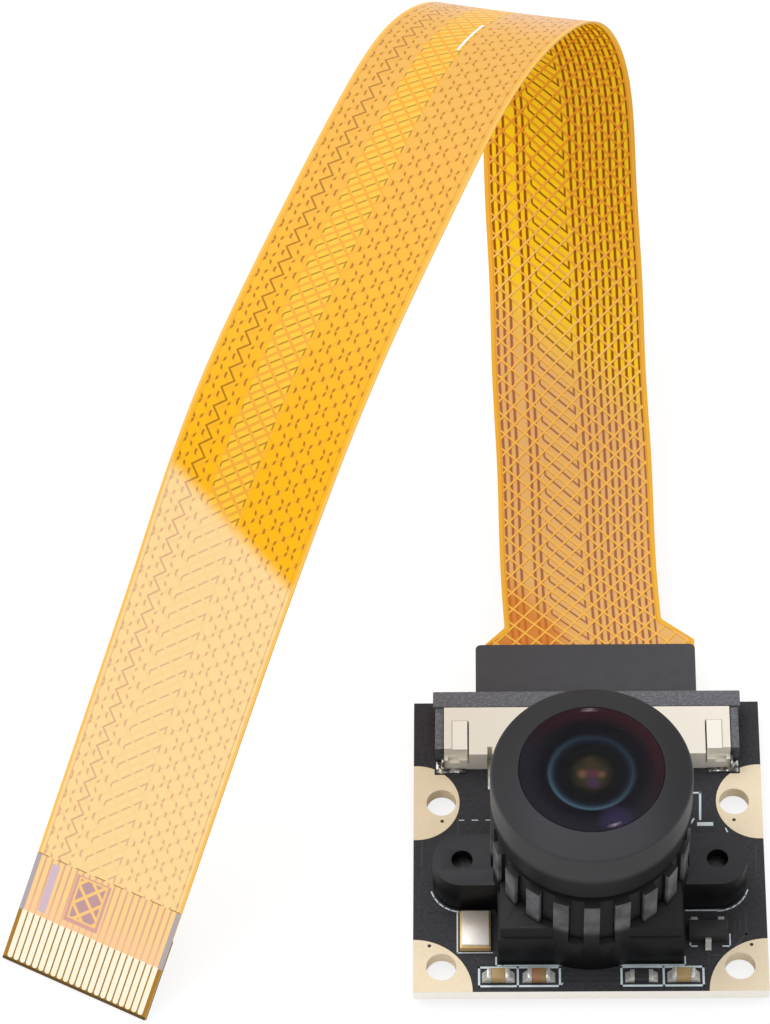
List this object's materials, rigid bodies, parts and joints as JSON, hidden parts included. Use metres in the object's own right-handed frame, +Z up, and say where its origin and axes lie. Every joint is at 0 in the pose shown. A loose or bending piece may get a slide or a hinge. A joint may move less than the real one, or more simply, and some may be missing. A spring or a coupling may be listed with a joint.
{
  "type": "camera_module",
  "caption": "Wide-angle camera module: small black circuit board with a tall M12 fisheye lens, a flat-cable connector and its amber ribbon cable",
  "frame": {"origin": "on the optical axis, which is the centre of the four mounting holes, at the underside of the circuit board", "axes": "+X across the board to the right with the connector at the back, +Y along the board from the lens to the cable connector, +Z up from the board to the front of the lens"},
  "size_m": [0.0542, 0.0722, 0.0341],
  "materials": {
    "solder_mask": "black solder mask, satin",
    "gold_plate": "immersion gold, matt",
    "holder_black": "glass-filled black plastic, fine grain",
    "screw_steel": "zinc plated",
    "barrel_black": "black anodised, matt",
    "lens_glass": "coated glass",
    "filter_glass": "coated glass",
    "sensor_package": "laminate package",
    "ivory_plastic": "moulded, smooth",
    "grey_plastic": "glass-filled grey plastic, mottled",
    "tin": "tin plated",
    "amber_film": "polyimide film over copper mesh",
    "stiffener_black": "satin",
    "crystal_ceramic": "gold plated rim on ceramic",
    "crystal_metal": "fine brushed",
    "mould_black": "moulded epoxy",
    "capacitor_tan": "fired ceramic"
  },
  "bodies": {
    "root": {"pcb": "solder_mask", "plated_pads": "gold_plate", "lens_holder": "holder_black", "holder_screws": "screw_steel", "infrared_filter": "filter_glass", "image_sensor": "sensor_package", "sensor_cover_glass": "filter_glass", "connector_housing": "ivory_plastic", "connector_contacts": "tin", "connector_hold_downs": "tin", "ribbon_film": "amber_film", "board_end_stiffener": "stiffener_black", "board_end_contacts": "gold_plate", "free_end_stiffener": "amber_film", "free_end_contacts": "gold_plate", "crystal_base": "crystal_ceramic", "crystal_lid": "crystal_metal", "transistor_body": "mould_black", "transistor_leads": "tin", "capacitor_bodies": "capacitor_tan", "resistor_body": "mould_black", "chip_terminals": "tin"},
    "optics": {"front_element": "lens_glass", "second_element": "lens_glass", "lens_spacer": "barrel_black", "aperture_stop": "barrel_black", "rear_element": "lens_glass"},
    "barrel": {"lens_barrel": "barrel_black", "rear_ring": "barrel_black"},
    "latch": {"connector_latch": "grey_plastic"}
  },
  "joints": [
    {"name": "focus_travel", "type": "slide", "parent": "root", "child": "optics", "axis": [0, 0, 1], "range_m": [-0.00076, 0.00201]},
    {"name": "focus_turn", "type": "hinge", "parent": "optics", "child": "barrel", "pos_m": [0, 0, 0], "axis": [0, 0, 1], "range_deg": [-540, 1440]},
    {"name": "latch_slide", "type": "slide", "parent": "root", "child": "latch", "axis": [0, 1, 0], "range_m": [0, 0.001]}
  ],
  "couplings": [
    {"joint": "focus_travel", "follows": "focus_turn", "m_per_rad": 0.000079577}
  ]
}
